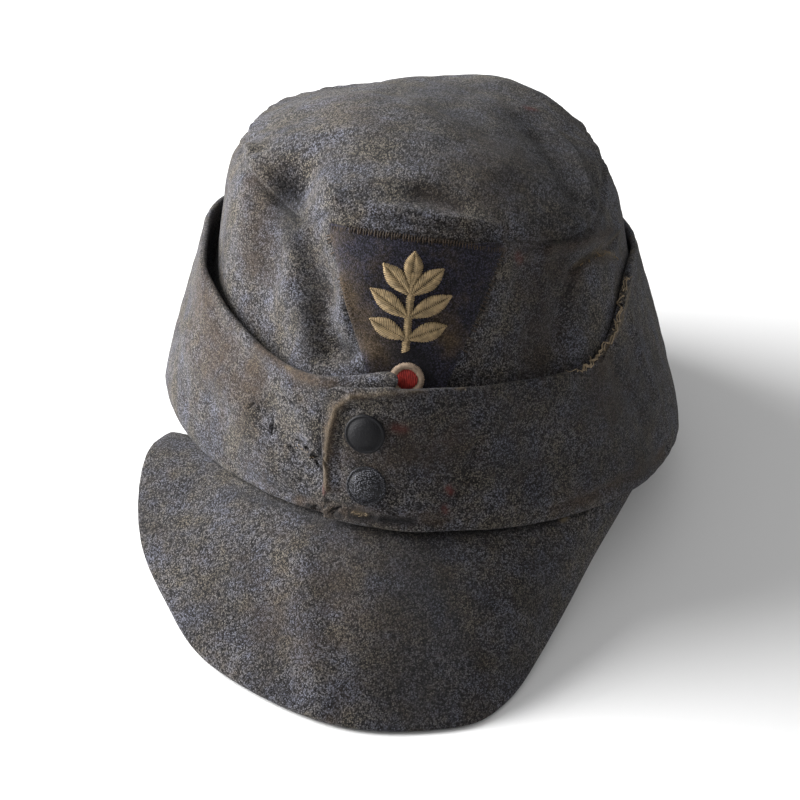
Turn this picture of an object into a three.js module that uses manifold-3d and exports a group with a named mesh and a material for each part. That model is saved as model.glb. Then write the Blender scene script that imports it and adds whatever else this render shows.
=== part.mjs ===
// Field cap of wool cloth: a soft hollow crown of side wall and top panel, a turned-up flap that is
// lapped and buttoned at the front, and a stiff cloth-covered peak. A cloth patch with an embroidered
// leaf sprig and a small roundel is sewn on the front of the crown.
// Millimetres, +Z up. The front of the cap faces -Y and the wearer's left side is at +X.
// The cap rests on the back of its rim and on the front edge of its peak, as it lies on a table.
import * as THREE from 'three';
import { mergeVertices } from 'three/addons/utils/BufferGeometryUtils.js';
import Module from 'manifold-3d';

// Crown
const RIM_WIDTH = 162;
const RIM_LENGTH = 202;
const EGG = 0.05;
const FRONT_HEIGHT = 90;
const BACK_HEIGHT = 88;
const CROWN_WALL = 2;
const TOP_LEAN = -8.8;
const DOME_HEIGHT = 17.5;
const SEAM_ROLL = 1.2;
const SEAM_GAP = 0.3;
const SHOULDER = 0.2;

// Flap
const FLAP_HEIGHT = FRONT_HEIGHT * 0.711;
const FLAP_WALL = 2.6;
const FLAP_DROP = 0.8;
const CLOTH_GAP = 0.35;
const OVER_END_ANGLE = -16;
const UNDER_END_ANGLE = -1;
const END_CORNER = 5;
const FLARE_POWER = 1.6;

// Peak
const PEAK_LENGTH = 67;
const PEAK_SLOPE = 41;
const PEAK_HALF_WIDTH = 84;
const PEAK_WALL = 3;
const PEAK_ROOT_ANGLE = 64;
const PEAK_ROOT_DROP = 0.3;
const PEAK_BACK = 0.155;
const PEAK_ARCH = 4.5;
const PEAK_ROOT_SHARE = 0.12;
const PEAK_ROOT_STANDOFF = 1.6;
const PEAK_ROOT_INSET = 3;

// Patch, sprig and roundel
const PATCH_TOP_WIDTH = 56;
const PATCH_FOOT_WIDTH = 16;
const PATCH_HEIGHT = 52;
const PATCH_TOP_DROP = 4.4;
const PATCH_SHIFT = 5;
const PATCH_TURN = 3;
const PATCH_WALL = 1;
const SPRIG_HEIGHT = 29;
const SPRIG_DROP = 3;
const SPRIG_RELIEF = 0.9;
const LEAF_WIDTH = 5.2;
const STEM_WIDTH = 1.8;
const ROUNDEL_RADIUS = 5.6;
const ROUNDEL_CORE_RADIUS = 3.2;
const ROUNDEL_RELIEF = 1;
const ROUNDEL_TAPER = 0.3;
const ROUNDEL_DROP = 45;
const THREAD_GAP = 0.3;
const THREAD_STEP = 4.5;
const ROUNDEL_SIDES = 20;

// Buttons
const BUTTON_RADIUS = 6.2;
const BUTTON_HEIGHT = 3.2;
const BUTTON_RIM = 0.9;
const BUTTON_ANGLE = -6;
const BUTTON_LEVELS = [0.7, 0.32];
const BUTTON_SIDES = 24;
const BUTTON_SEAT = 0.6;

// How far the soft edges are pressed flat where the cap rests.
const REST_PRESS = 1.1;

const RAD = Math.PI / 180;
const mix = (a, b, t) => a + (b - a) * t;
const bump = (x) => Math.exp(-x * x);

function smooth(low, high, x) {
  const t = THREE.MathUtils.clamp((x - low) / (high - low), 0, 1);
  return t * t * (3 - 2 * t);
}

// A smooth value of one column of a table whose first column rises.
function column(rows, key, name, x) {
  const last = rows.length - 1;
  let i = 0;
  while (i < last - 1 && x > rows[i + 1][key]) i++;
  const [p, a, b, q] = [Math.max(i - 1, 0), i, i + 1, Math.min(i + 2, last)].map((k) => rows[k]);
  const span = b[key] - a[key];
  const t = THREE.MathUtils.clamp((x - a[key]) / span, 0, 1);
  const slopeA = ((b[name] - p[name]) / (b[key] - p[key])) * span;
  const slopeB = ((q[name] - a[name]) / (q[key] - a[key])) * span;
  const t2 = t * t;
  const t3 = t2 * t;
  return (
    (2 * t3 - 3 * t2 + 1) * a[name] + (t3 - 2 * t2 + t) * slopeA +
    (3 * t2 - 2 * t3) * b[name] + (t3 - t2) * slopeB
  );
}

// Level sections of the side wall: shares of its height, of the rim's width and of its length.
const WALL_SECTIONS = [
  { level: 0, width: 1, front: 1, back: 1 },
  { level: 0.25, width: 0.945, front: 0.985, back: 0.985 },
  { level: 0.5, width: 0.88, front: 0.95, back: 0.95 },
  { level: 0.75, width: 0.82, front: 0.91, back: 0.91 },
  { level: 0.9, width: 0.8, front: 0.875, back: 0.87 },
  { level: 1, width: 0.715, front: 0.835, back: 0.82 },
];

// Soft upright folds in the side wall. Angles are in degrees from the front, positive towards +X,
// spread is half a fold's width, slant is how far it leans by the top, and depth is a share of the
// rim's width, negative for a dent.
const WALL_FOLDS = [
  { angle: -42, spread: 8, slant: -14, level: 0.75, reach: 0.4, depth: -0.026 },
  { angle: -60, spread: 9, slant: -6, level: 0.7, reach: 0.4, depth: 0.018 },
  { angle: -30, spread: 5, slant: -10, level: 0.85, reach: 0.25, depth: 0.01 },
  { angle: 40, spread: 8, slant: 16, level: 0.7, reach: 0.35, depth: -0.02 },
  { angle: 62, spread: 10, slant: 8, level: 0.75, reach: 0.3, depth: 0.012 },
  { angle: 110, spread: 12, slant: 0, level: 0.8, reach: 0.3, depth: -0.015 },
  { angle: -115, spread: 12, slant: 4, level: 0.8, reach: 0.3, depth: -0.014 },
  { angle: 160, spread: 14, slant: -6, level: 0.7, reach: 0.3, depth: -0.012 },
];

// Where the top panel hangs lower over the side: degrees from the front, half the stretch's width, and
// how far its seam sags.
const SEAM_SAGS = [
  { angle: 51, spread: 24, sag: 9.5 },
  { angle: -42, spread: 14, sag: 4 },
];

// Soft dents and swellings of the top panel: their place and radius as shares of the panel's half
// width and half length, and their depth as a share of the dome's height.
const TOP_DENTS = [
  { across: 0.05, along: 0.35, radius: 0.35, depth: -0.2 },
  { across: 0.55, along: 0.45, radius: 0.42, depth: 0.22 },
  { across: 0.62, along: -0.1, radius: 0.2, depth: -0.2 },
  { across: -0.5, along: 0.6, radius: 0.35, depth: -0.2 },
  { across: 0.3, along: 0.8, radius: 0.25, depth: 0.14 },
  { across: -0.45, along: -0.45, radius: 0.3, depth: 0.1 },
];

// The flap round the cap, by degrees from the front towards +X: the height of its top edge as a
// share of FLAP_HEIGHT, its standoff from the wall at the top edge and its flare at the foot, both
// as shares of FLAP_WALL.
const FLAP_SECTIONS = [
  { angle: -24, height: 0.62, stand: 0, flare: 0.5 },
  { angle: 0, height: 0.69, stand: 0, flare: 0.5 },
  { angle: 25, height: 0.69, stand: 0, flare: 0.7 },
  { angle: 45, height: 0.68, stand: 0.2, flare: 1.1 },
  { angle: 57, height: 0.71, stand: 0.2, flare: 1.4 },
  { angle: 67, height: 0.85, stand: 0, flare: 1 },
  { angle: 78, height: 0.96, stand: 0, flare: 1 },
  { angle: 100, height: 0.97, stand: 0, flare: 1 },
  { angle: 140, height: 0.92, stand: 0.5, flare: 1.4 },
  { angle: 180, height: 0.88, stand: 0.4, flare: 0.8 },
  { angle: 220, height: 0.9, stand: 0.6, flare: 1.3 },
  { angle: 260, height: 0.94, stand: 1, flare: 2.2 },
  { angle: 282, height: 0.92, stand: 1.2, flare: 3.1 },
  { angle: 298, height: 0.87, stand: 1.3, flare: 2.2 },
  { angle: 313, height: 0.73, stand: 0.5, flare: 1 },
  { angle: 335, height: 0.65, stand: 0.1, flare: 0.7 },
  { angle: 360, height: 0.76, stand: 0, flare: 0.5 },
];

// The peak's outer edge, by turns in degrees from the cap's right end over the front to its left end:
// its side place as a share of PEAK_HALF_WIDTH, and its reach and drop as shares of the front's.
const PEAK_SECTIONS = [
  { turn: -90, side: -0.95, reach: 0.1, drop: 0.03 },
  { turn: -80, side: -1.02, reach: 0.21, drop: 0.07 },
  { turn: -68, side: -1.02, reach: 0.35, drop: 0.26 },
  { turn: -55, side: -0.965, reach: 0.49, drop: 0.5 },
  { turn: -40, side: -0.84, reach: 0.64, drop: 0.68 },
  { turn: -22, side: -0.62, reach: 0.83, drop: 0.89 },
  { turn: 0, side: -0.13, reach: 1, drop: 1 },
  { turn: 22, side: 0.33, reach: 0.94, drop: 0.99 },
  { turn: 34, side: 0.47, reach: 0.82, drop: 0.93 },
  { turn: 50, side: 0.56, reach: 0.65, drop: 0.8 },
  { turn: 66, side: 0.64, reach: 0.475, drop: 0.63 },
  { turn: 80, side: 0.72, reach: 0.3, drop: 0.43 },
  { turn: 90, side: 0.81, reach: 0.17, drop: 0.18 },
];

// Pairs of leaves on the sprig's stem: their foot and length as shares of its height, and their lean
// from the stem in degrees.
const SPRIG_LEAVES = [
  { up: 0.12, length: 0.42, lean: 66 },
  { up: 0.34, length: 0.48, lean: 58 },
  { up: 0.56, length: 0.42, lean: 46 },
];
const TIP_LEAF_LENGTH = 0.36;
const STEM_LENGTH = 0.8;

// Full height of the crown's side, and how far its seam with the top panel sags below it.
const fullHeight = (angle) => mix(BACK_HEIGHT, FRONT_HEIGHT, (1 + Math.cos(angle * RAD)) / 2);

const turnFrom = (centre, angle) => THREE.MathUtils.euclideanModulo(angle - centre + 180, 360) - 180;

function seamSag(angle) {
  return SEAM_SAGS.reduce((sum, row) => sum + row.sag * bump(turnFrom(row.angle, angle) / row.spread), 0);
}

const seamHeight = (angle) => fullHeight(angle) - seamSag(angle);

// A level outline of the crown, and its outward normal.
function outline(angle, level) {
  const [sin, cos] = [Math.sin(angle * RAD), Math.cos(angle * RAD)];
  const width = column(WALL_SECTIONS, 'level', 'width', level);
  const front = column(WALL_SECTIONS, 'level', 'front', level);
  const back = column(WALL_SECTIONS, 'level', 'back', level);
  const length = mix(back, front, (1 + cos) / 2);
  return new THREE.Vector2(
    (RIM_WIDTH / 2) * width * sin * (1 - EGG * cos) + TOP_LEAN * level,
    (-RIM_LENGTH / 2) * length * cos,
  );
}

function outward(angle, level) {
  const step = outline(angle + 0.5, level).sub(outline(angle - 0.5, level));
  return new THREE.Vector2(step.y, -step.x).normalize();
}

function wallFold(angle, level) {
  let depth = 0;
  for (const fold of WALL_FOLDS) {
    const centre = fold.angle + fold.slant * (level - fold.level);
    const away = turnFrom(centre, angle);
    depth += fold.depth * bump(away / fold.spread) * bump((level - fold.level) / fold.reach);
  }
  return depth * RIM_WIDTH * smooth(0, 0.3, level);
}

// A point of the side wall's outer face at a height, pushed out by a distance.
function wallPoint(angle, height, out = 0, folded = true) {
  const level = height / fullHeight(angle);
  const normal = outward(angle, level);
  const push = out + (folded ? wallFold(angle, level) : 0);
  const at = outline(angle, level).addScaledVector(normal, push);
  return new THREE.Vector3(at.x, at.y, height);
}

// Resting pose: the cap leans back until the rim's back and the peak's front edge are level.
const peakDrop = PEAK_LENGTH * Math.sin(PEAK_SLOPE * RAD) + PEAK_WALL + CLOTH_GAP;
const peakReach = PEAK_LENGTH * Math.cos(PEAK_SLOPE * RAD);
const restPitch = Math.atan2(peakDrop - FLAP_DROP, RIM_LENGTH + FLAP_WALL + peakReach);
const restTurn = new THREE.Matrix4().makeRotationX(-restPitch);
const backFoot = new THREE.Vector3(0, RIM_LENGTH / 2 + FLAP_WALL, -FLAP_DROP).applyMatrix4(restTurn);
const toRest = restTurn.clone().premultiply(
  new THREE.Matrix4().makeTranslation(0, 0, -backFoot.z - REST_PRESS),
);

function rest(point) {
  point.applyMatrix4(toRest);
  point.z = Math.max(point.z, 0);
  return point;
}

// A closed sheet of cloth: an outer face given by a surface of two parameters, and an inner face one
// wall below it, along the surface's normal or straight down.
function cloth(surface, us, vs, wall, { closed = false, straightDown = false } = {}) {
  const nu = us.length;
  const nv = vs.length;
  const points = [];
  const [uStep, vStep] = [1e-3 * (us[nu - 1] - us[0]), 1e-3 * (vs[nv - 1] - vs[0])];
  const faces = [0, 1].map((side) =>
    us.map((u) =>
      vs.map((v) => {
        const point = surface(u, v);
        if (side && straightDown) {
          point.z -= wall;
        } else if (side) {
          const along = surface(u + uStep, v).sub(surface(u - uStep, v));
          const up = surface(u, v + vStep).sub(surface(u, v - vStep));
          point.addScaledVector(along.cross(up).normalize(), -wall);
        }
        return points.push(rest(point)) - 1;
      }),
    ),
  );
  const index = [];
  const quad = (a, b, c, d) => index.push(a, b, c, a, c, d);
  const [outer, inner] = faces;
  for (let i = 0; i < (closed ? nu : nu - 1); i++) {
    const j = (i + 1) % nu;
    for (let k = 0; k < nv - 1; k++) {
      quad(outer[i][k], outer[j][k], outer[j][k + 1], outer[i][k + 1]);
      quad(inner[i][k + 1], inner[j][k + 1], inner[j][k], inner[i][k]);
    }
    quad(inner[i][0], inner[j][0], outer[j][0], outer[i][0]);
    quad(outer[i][nv - 1], outer[j][nv - 1], inner[j][nv - 1], inner[i][nv - 1]);
  }
  for (let k = 0; k < nv - 1 && !closed; k++) {
    quad(outer[0][k], outer[0][k + 1], inner[0][k + 1], inner[0][k]);
    quad(inner[nu - 1][k], inner[nu - 1][k + 1], outer[nu - 1][k + 1], outer[nu - 1][k]);
  }
  return new THREE.BufferGeometry().setFromPoints(points).setIndex(index);
}

const steps = (from, to, count) =>
  Array.from({ length: count + 1 }, (_, i) => mix(from, to, i / count));

// Side wall of the crown
function crownSide() {
  const around = [...steps(-32, 32, 16), ...steps(32, 328, 52).slice(1, -1)];
  const up = [0, 0.02, 0.14, 0.28, 0.42, 0.56, 0.69, 0.81, 0.91, 0.97, 1];
  const surface = (angle, level) => wallPoint(angle, level * seamHeight(angle));
  return cloth(surface, around, up, CROWN_WALL, { closed: true });
}

// Top panel of the crown: a dome over the seam, whose edge rolls over the side wall.
function topPoint(across, along) {
  const radius = Math.hypot(across, along);
  const angle = Math.atan2(across, -along) / RAD;
  const level = seamHeight(angle) / fullHeight(angle);
  const roll = SEAM_ROLL + wallFold(angle, level);
  const edge = outline(angle, level).addScaledVector(outward(angle, level), roll);
  const middle = outline(90, 1).add(outline(-90, 1)).multiplyScalar(0.5);
  const at = middle.lerp(edge, radius);
  // The dome stays full above a sag.
  let rise = 1 - radius ** (2 + SHOULDER * seamSag(angle));
  for (const dent of TOP_DENTS) {
    const away = Math.hypot(across - dent.across, along - dent.along);
    rise += dent.depth * bump(away / dent.radius) * smooth(1, 0.8, radius);
  }
  const seam = mix(fullHeight(90), seamHeight(angle), radius);
  return new THREE.Vector3(at.x, at.y, seam + SEAM_GAP + CROWN_WALL + DOME_HEIGHT * rise);
}

function crownTop() {
  // A square grid drawn out to a disc keeps the panel free of a pole.
  const grid = [-1, -0.965, -0.87, -0.74, -0.6, -0.45, -0.3, -0.15, 0];
  const both = [...grid, ...grid.slice(0, -1).reverse().map((x) => -x)];
  const surface = (u, v) => {
    const [x, y] = [THREE.MathUtils.clamp(u, -1, 1), THREE.MathUtils.clamp(v, -1, 1)];
    return topPoint(x * Math.sqrt(1 - (y * y) / 2), y * Math.sqrt(1 - (x * x) / 2));
  };
  return cloth(surface, both, both, CROWN_WALL, { straightDown: true });
}

// Turned-up flap: it starts at the lapped end over the front, goes round the back and ends under it.
const patchStack = 2 * CLOTH_GAP + PATCH_WALL + ROUNDEL_RELIEF;

function flapEdge(angle) {
  const height = FLAP_HEIGHT * column(FLAP_SECTIONS, 'angle', 'height', angle);
  const fromEnd = (Math.min(angle - OVER_END_ANGLE, 360 + UNDER_END_ANGLE - angle) * RAD * RIM_LENGTH) / 2;
  const inset = Math.max(END_CORNER - fromEnd, 0);
  return height - END_CORNER + Math.sqrt(Math.max(END_CORNER ** 2 - inset ** 2, 0));
}

function flapGap(angle, share) {
  const stand = FLAP_WALL * column(FLAP_SECTIONS, 'angle', 'stand', angle);
  const flare = FLAP_WALL * column(FLAP_SECTIONS, 'angle', 'flare', angle);
  const fromFront = Math.min(Math.abs(angle), Math.abs(angle - 360));
  const overPatch = patchStack * smooth(32, 16, fromFront);
  const over = (FLAP_WALL + CLOTH_GAP) * smooth(UNDER_END_ANGLE + 14, UNDER_END_ANGLE + 3, angle);
  const lean = mix(stand, flare, (1 - share) ** FLARE_POWER) * smooth(-0.05, 0.12, share);
  return CLOTH_GAP + lean + overPatch * smooth(0.4, 0.8, share) + over;
}

function flapPoint(angle, share) {
  const height = mix(-FLAP_DROP, flapEdge(angle), share);
  const gap = flapGap(angle, THREE.MathUtils.clamp(share, 0, 1));
  const swell = Math.max(wallFold(angle, height / fullHeight(angle)), 0);
  return wallPoint(angle, height, gap + swell + FLAP_WALL, false);
}

function flap() {
  const ends = [0, 0.6, 1.4, 2.6, 4];
  const around = [
    ...ends.map((step) => OVER_END_ANGLE + step),
    ...steps(OVER_END_ANGLE + 8, 360 + UNDER_END_ANGLE - 8, 76),
    ...ends.map((step) => 360 + UNDER_END_ANGLE - step).reverse(),
  ];
  const up = [0, 0.04, 0.14, 0.28, 0.42, 0.56, 0.7, 0.84, 0.95, 1];
  return cloth(flapPoint, around, up, FLAP_WALL);
}

// Peak: its root lies under the front of the rim and its outer edge is a broad curve.
function peakPoint(turn, share) {
  const angle = (turn / 90) * PEAK_ROOT_ANGLE;
  const root = wallPoint(angle, 0, PEAK_ROOT_STANDOFF, false);
  const reach = column(PEAK_SECTIONS, 'turn', 'reach', turn);
  const drop = column(PEAK_SECTIONS, 'turn', 'drop', turn);
  const edge = new THREE.Vector3(
    PEAK_HALF_WIDTH * column(PEAK_SECTIONS, 'turn', 'side', turn),
    mix(-RIM_LENGTH * PEAK_BACK, -RIM_LENGTH / 2 - peakReach, reach),
    0,
  );
  edge.z = -(peakDrop - PEAK_WALL) * drop;
  root.z = -FLAP_DROP - CLOTH_GAP - PEAK_ROOT_DROP;
  const inset = wallPoint(angle, 0, -PEAK_ROOT_INSET, false);
  inset.z = root.z;
  if (share < PEAK_ROOT_SHARE) return inset.lerp(root, share / PEAK_ROOT_SHARE);
  const along = (share - PEAK_ROOT_SHARE) / (1 - PEAK_ROOT_SHARE);
  const point = root.lerp(edge, along);
  point.z += PEAK_ARCH * Math.sin(Math.PI * along) * Math.cos(turn * RAD);
  return point;
}

function peak() {
  const turns = steps(90, -90, 40);
  const out = [0, PEAK_ROOT_SHARE, 0.2, 0.3, 0.42, 0.54, 0.66, 0.78, 0.9, 0.97, 1];
  return cloth(peakPoint, turns, out, PEAK_WALL);
}

// A point of the crown's front, measured on the cloth across and down from the middle of the seam.
function frontPoint(across, down, out) {
  const level = 1 - down / FRONT_HEIGHT;
  const perDegree = outline(0.5, level).distanceTo(outline(-0.5, level));
  return wallPoint(across / perDegree, FRONT_HEIGHT - down, out);
}

// A point on the patch, across and down from the middle of its top edge, above its back.
function patchPoint(across, down, out) {
  const at = new THREE.Vector2(across, down).rotateAround(new THREE.Vector2(), PATCH_TURN * RAD);
  return frontPoint(PATCH_SHIFT + at.x, PATCH_TOP_DROP + at.y, CLOTH_GAP + out);
}

function patch() {
  const surface = (u, v) => {
    const half = mix(PATCH_FOOT_WIDTH, PATCH_TOP_WIDTH, v) / 2;
    return patchPoint(u * half, PATCH_HEIGHT * (1 - v), PATCH_WALL);
  };
  return cloth(surface, steps(-1, 1, 14), steps(0, 1, 8), PATCH_WALL);
}

// Raised thread work on the patch, drawn flat (across, up from the given drop, height) and then laid
// on the patch.
const kit = await Module();
kit.setup();
const { Manifold, CrossSection } = kit;

function layOnPatch(solid, drop) {
  const mesh = solid.refineToLength(THREAD_STEP).getMesh();
  const points = [];
  for (let i = 0; i < mesh.numVert; i++) {
    const [across, up, high] = mesh.position(i);
    points.push(rest(patchPoint(across, drop - up, PATCH_WALL + THREAD_GAP + high)));
  }
  return new THREE.BufferGeometry().setFromPoints(points).setIndex(Array.from(mesh.triVerts));
}

// One leaf from its foot at the origin along +Y, with pointed ends and bevelled sides.
function leaf(length) {
  const half = steps(0, 1, 4).map((t) => [(LEAF_WIDTH / 2) * Math.sin(Math.PI * t ** 0.8), length * (t - 0.5)]);
  const otherHalf = half.slice(1, -1).reverse().map(([x, y]) => [-x, y]);
  const flat = CrossSection.ofPolygons([[...half, ...otherHalf]]);
  return flat.extrude(SPRIG_RELIEF, 0, 0, [0.5, 0.8], false).translate([0, length / 2, 0]);
}

function sprig() {
  const stem = Manifold.cube([STEM_WIDTH, SPRIG_HEIGHT * STEM_LENGTH, SPRIG_RELIEF * 0.8], false)
    .translate([-STEM_WIDTH / 2, -SPRIG_HEIGHT, 0]);
  const tipLength = SPRIG_HEIGHT * TIP_LEAF_LENGTH;
  const parts = [stem, leaf(tipLength).translate([0, -tipLength, 0])];
  for (const { up, length, lean } of SPRIG_LEAVES) {
    for (const side of [-1, 1]) {
      const turned = leaf(SPRIG_HEIGHT * length).rotate([0, 0, side * lean]);
      parts.push(turned.translate([0, SPRIG_HEIGHT * (up - 1), 0]));
    }
  }
  return layOnPatch(Manifold.union(parts), SPRIG_DROP);
}

function roundel(inner, outer) {
  const disc = (radius, high) => Manifold.cylinder(high, radius, radius - ROUNDEL_TAPER, ROUNDEL_SIDES);
  const whole = disc(outer, ROUNDEL_RELIEF);
  const cut = inner ? Manifold.cylinder(3, inner, inner, ROUNDEL_SIDES).translate([0, 0, -1]) : null;
  return layOnPatch(cut ? whole.subtract(cut) : whole, ROUNDEL_DROP - PATCH_TOP_DROP);
}

// Domed button with a rolled rim, its back on the plane z = 0.
function button() {
  const inner = BUTTON_RADIUS - BUTTON_RIM;
  const profile = [
    [0, 0],
    [BUTTON_RADIUS * 0.9, 0],
    [BUTTON_RADIUS, BUTTON_HEIGHT * 0.3],
    [BUTTON_RADIUS * 0.95, BUTTON_HEIGHT * 0.55],
    [inner, BUTTON_HEIGHT * 0.5],
    [inner * 0.8, BUTTON_HEIGHT * 0.78],
    [inner * 0.45, BUTTON_HEIGHT * 0.95],
    [0, BUTTON_HEIGHT],
  ].map(([x, y]) => new THREE.Vector2(x, y));
  const turned = new THREE.LatheGeometry(profile, BUTTON_SIDES).rotateX(Math.PI / 2);
  turned.deleteAttribute('normal');
  turned.deleteAttribute('uv');
  return withoutSlivers(mergeVertices(turned, 1e-5));
}

function withoutSlivers(geometry) {
  const from = geometry.index.array;
  const index = [];
  for (let i = 0; i < from.length; i += 3) {
    const [a, b, c] = [from[i], from[i + 1], from[i + 2]];
    if (a !== b && b !== c && c !== a) index.push(a, b, c);
  }
  return geometry.setIndex(index);
}

// Sets a button on the flap's outer face, square to the cloth.
function placeButton(mesh, share) {
  const at = (angle, level) => rest(flapPoint(angle, level));
  const along = at(BUTTON_ANGLE + 3, share).sub(at(BUTTON_ANGLE - 3, share));
  const up = at(BUTTON_ANGLE, share + 0.1).sub(at(BUTTON_ANGLE, share - 0.1));
  const facing = along.cross(up).normalize();
  mesh.quaternion.setFromUnitVectors(new THREE.Vector3(0, 0, 1), facing);
  mesh.position.copy(at(BUTTON_ANGLE, share)).addScaledVector(facing, BUTTON_SEAT);
}

const group = new THREE.Group();

function add(name, geometry, colour, roughness, metalness = 0) {
  const material = new THREE.MeshStandardMaterial({ color: colour, roughness, metalness });
  const mesh = new THREE.Mesh(geometry, material);
  mesh.name = name;
  group.add(mesh);
  return mesh;
}

add('crown_side', crownSide(), 0x4b4a4c, 0.95);
add('crown_top', crownTop(), 0x4f4e50, 0.95);
add('flap', flap(), 0x47443f, 0.95);
add('peak', peak(), 0x4a494d, 0.95);
add('badge_patch', patch(), 0x1f1c26, 0.95);
add('sprig', sprig(), 0x8e7b61, 0.9);
add('roundel_ring', roundel(ROUNDEL_CORE_RADIUS + THREAD_GAP, ROUNDEL_RADIUS), 0xa39a94, 0.9);
add('roundel_core', roundel(0, ROUNDEL_CORE_RADIUS), 0x9c2b26, 0.9);
placeButton(add('button_upper', button(), 0x35343a, 0.5, 0.7), BUTTON_LEVELS[0]);
placeButton(add('button_lower', button(), 0x35343a, 0.5, 0.7), BUTTON_LEVELS[1]);

// The origin is the middle of the cap's base.
const box = new THREE.Box3().setFromObject(group);
group.position.set(-(box.min.x + box.max.x) / 2, -(box.min.y + box.max.y) / 2, -box.min.z);
group.updateMatrixWorld(true);

export default group;
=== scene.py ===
"""Looks of a worn wool field cap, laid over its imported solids.

The cap is milled wool cloth: a soft crown, a turned-up flap with two pebbled buttons, a covered peak
and a navy patch with an embroidered leaf sprig. Everything is in metres, in the frame of the solids.
"""

import math
import random
from functools import partial

import bpy
import numpy as np
from mathutils import Matrix, Vector, noise
from mathutils.bvhtree import BVHTree


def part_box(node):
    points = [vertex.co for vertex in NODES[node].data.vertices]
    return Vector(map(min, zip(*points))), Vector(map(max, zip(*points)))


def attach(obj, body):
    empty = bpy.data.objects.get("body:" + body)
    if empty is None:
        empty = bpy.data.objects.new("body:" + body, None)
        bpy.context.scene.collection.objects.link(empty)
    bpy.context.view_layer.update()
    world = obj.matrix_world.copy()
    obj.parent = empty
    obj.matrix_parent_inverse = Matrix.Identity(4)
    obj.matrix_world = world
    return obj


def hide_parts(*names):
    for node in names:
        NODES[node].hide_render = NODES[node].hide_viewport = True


bl_info = {
    "name": "Field cap looks",
    "version": (1, 0, 0),
    "blender": (4, 5, 0),
    "location": "View3D > Sidebar > Field Cap",
    "description": "Cloth, thread and button pieces of a worn wool field cap",
    "category": "Add Mesh",
}

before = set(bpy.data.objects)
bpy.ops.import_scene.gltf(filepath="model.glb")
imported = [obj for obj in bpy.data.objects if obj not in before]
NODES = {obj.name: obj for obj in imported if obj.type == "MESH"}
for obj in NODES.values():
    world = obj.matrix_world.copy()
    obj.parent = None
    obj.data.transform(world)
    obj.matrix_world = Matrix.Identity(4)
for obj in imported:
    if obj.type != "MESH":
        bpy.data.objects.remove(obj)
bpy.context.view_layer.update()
MM = 0.001

# The camera, fitted to the photograph of 800 by 800 pixels
PHOTO_PIXELS = 800
CAMERA_AIM = Vector((0.0, 0.0065, 0.055))
CAMERA_AZIMUTH = 4.0
CAMERA_ELEVATION = 30.0
CAMERA_ROLL = 4.0
CAMERA_DISTANCE = 0.85
FOCAL_PIXELS = 2600.0
AIM_PIXEL = (423.0, 338.0)
SENSOR = 36.0

# Cloth moves away from this point when it swells, and towards it when it dents
CROWN_HEART = Vector((0.0, 0.012, 0.042))
PEAK_UP = Vector((0.0, -0.5, 0.86))


def linear(colour):
    """An sRGB hex colour as linear red, green, blue and alpha."""
    parts = [int(colour[i : i + 2], 16) / 255 for i in (1, 3, 5)]
    return tuple(c / 12.92 if c <= 0.04045 else ((c + 0.055) / 1.055) ** 2.4 for c in parts) + (1.0,)


def table(columns, rows):
    """Rows of values as dictionaries, by the names of their columns."""
    return [dict(zip(columns.split(), row)) for row in rows]


FOLD = "line width depth"
MARK = "line width strength"

# Folds and dents, each a line of photo pixels on the named solids. Width is where the fold has faded,
# depth is how far it swells out, both in millimetres.
CROWN_FOLDS = table(FOLD, [
    ([(252, 175), (250, 250)], 7, 1.8),
    ([(290, 182), (300, 215), (308, 262)], 8.5, -8.0),
    ([(288, 290), (283, 306)], 6, 2.6),
    ([(325, 292), (321, 315), (328, 348)], 6, -4.4),
    ([(339, 285), (343, 335)], 3, 2.4),
    ([(330, 200), (322, 180)], 5, 1.6),
    ([(262, 108), (247, 122), (240, 138)], 13, -4.0),
    ([(420, 84), (480, 82)], 16, 2.6),
    ([(246, 146), (252, 150)], 3.2, 2.0),
    ([(340, 338), (350, 352)], 3.6, -2.6),
    ([(350, 365), (372, 360)], 3, 1.4),
    ([(424, 196), (454, 204)], 5, -1.8),
    ([(330, 190), (380, 186), (430, 178)], 6, 1.0),
    ([(549, 129), (569, 149), (586, 177), (591, 200)], 2.6, 1.5),
    ([(540, 140), (560, 165), (574, 196)], 4.5, -1.3),
    ([(596, 150), (603, 180)], 2.4, -0.9),
    ([(400, 90), (440, 100), (480, 130)], 9, -1.2),
    ([(250, 138), (262, 150)], 3, -1.2),
    ([(617, 230), (590, 242), (548, 252)], 2.2, 2.2),
    ([(616, 238), (592, 252), (574, 266)], 1.8, -2.2),
    ([(546, 260), (544, 290), (538, 330)], 3, 1.1),
    ([(572, 275), (562, 307), (556, 335)], 2.6, -1.0),
    ([(520, 262), (512, 300), (492, 350)], 4, -0.9),
])
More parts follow.
